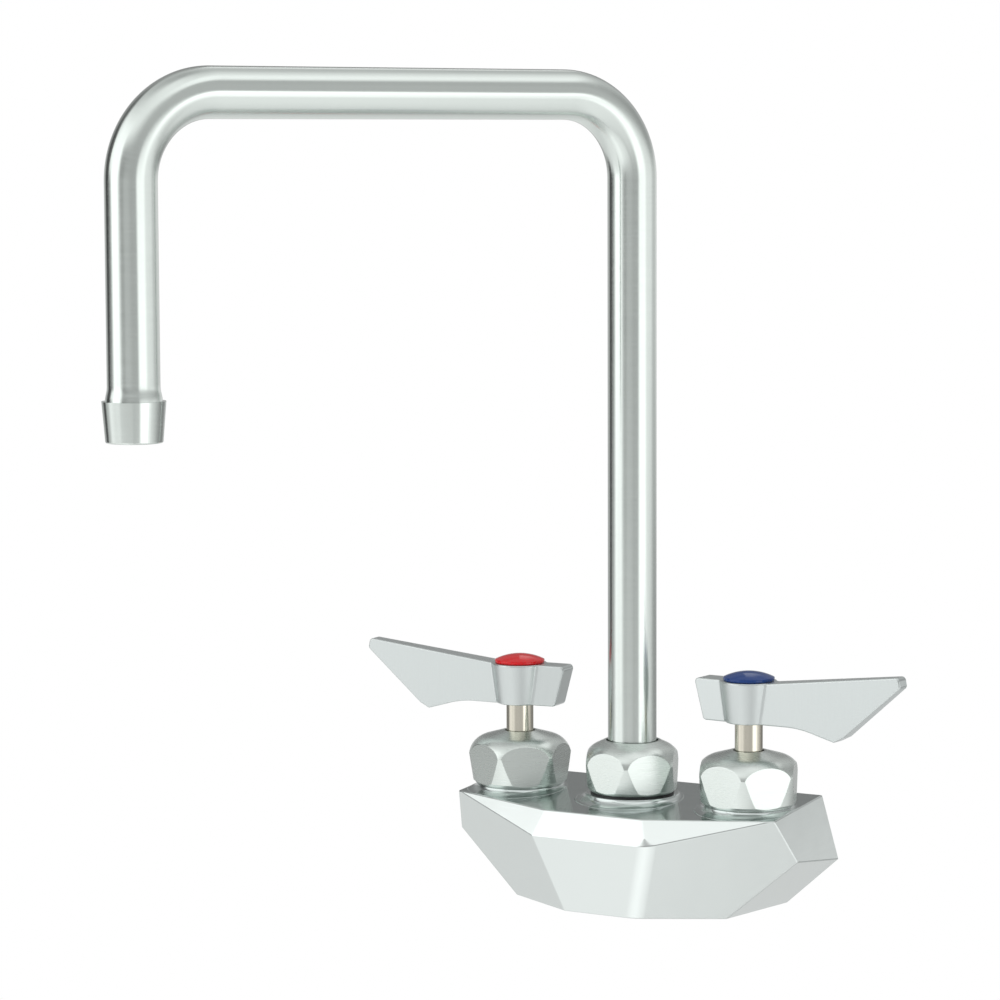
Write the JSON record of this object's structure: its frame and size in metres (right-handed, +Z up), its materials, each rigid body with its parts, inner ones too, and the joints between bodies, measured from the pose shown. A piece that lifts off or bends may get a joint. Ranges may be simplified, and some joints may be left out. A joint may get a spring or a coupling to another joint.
{
  "type": "wall-mounted faucet",
  "caption": "Wall-mounted faucet with a faceted valve body, a tall swivelling bent spout and blade lever handles.",
  "frame": {"origin": "middle of the valve body's wall face, at the height of the two inlets", "axes": "+X to the right of someone facing the wall, +Y into the wall, +Z up"},
  "size_m": [0.2352, 0.2326, 0.3255],
  "materials": {
    "satin_chrome_body": "satin chrome plate on a brass casting",
    "satin_chrome_nut": "satin chrome plate on brass",
    "satin_chrome_handle": "matte satin chrome plate on a cast lever",
    "satin_chrome_outlet": "satin chrome plate on brass",
    "satin_steel_tube": "fine satin tube",
    "nickel_stem": "nickel plate on brass",
    "brass": "bare turned brass",
    "spring_steel": "stainless steel",
    "ceramic": "lapped alumina disc",
    "black_rubber": "black rubber",
    "white_acetal": "white acetal",
    "red_button": "glossy red",
    "blue_button": "glossy blue"
  },
  "bodies": {
    "base": {"valve_body": "satin_chrome_body", "spout_nut": "satin_chrome_nut", "spout_gasket": "black_rubber", "spout_bearing_ring": "white_acetal", "hot_bonnet_nut": "satin_chrome_nut", "hot_cartridge_body": "brass", "hot_cartridge_o_ring": "black_rubber", "hot_seat_seal": "black_rubber", "hot_fixed_disc": "ceramic", "cold_bonnet_nut": "satin_chrome_nut", "cold_cartridge_body": "brass", "cold_cartridge_o_ring": "black_rubber", "cold_seat_seal": "black_rubber", "cold_fixed_disc": "ceramic"},
    "hot_lever": {"hot_moving_disc": "ceramic", "hot_stem": "nickel_stem", "hot_stem_o_ring": "black_rubber", "hot_stem_clip": "spring_steel", "hot_handle": "satin_chrome_handle", "hot_handle_screw": "spring_steel", "hot_index_button": "red_button"},
    "cold_lever": {"cold_moving_disc": "ceramic", "cold_stem": "nickel_stem", "cold_stem_o_ring": "black_rubber", "cold_stem_clip": "spring_steel", "cold_handle": "satin_chrome_handle", "cold_handle_screw": "spring_steel", "cold_index_button": "blue_button"},
    "spout": {"spout_tube": "satin_steel_tube", "spout_base_sleeve": "brass", "spout_o_rings": "black_rubber", "outlet_adapter": "brass", "aerator_housing": "satin_chrome_outlet", "aerator_insert": "white_acetal", "aerator_screens": "spring_steel", "flow_restrictor": "white_acetal", "aerator_washer": "black_rubber"}
  },
  "joints": [
    {"name": "hot_lever_turn", "type": "hinge", "parent": "base", "child": "hot_lever", "pos_m": [-0.0508, -0.0286, 0.021], "axis": [0, 0, 1], "range_deg": [-4, 86]},
    {"name": "cold_lever_turn", "type": "hinge", "parent": "base", "child": "cold_lever", "pos_m": [0.0508, -0.0286, 0.021], "axis": [0, 0, 1], "range_deg": [-86, 4]},
    {"name": "spout_swivel", "type": "hinge", "parent": "base", "child": "spout", "pos_m": [0, -0.0286, 0.021], "axis": [0, 0, 1], "range_deg": [-67, 121]}
  ]
}
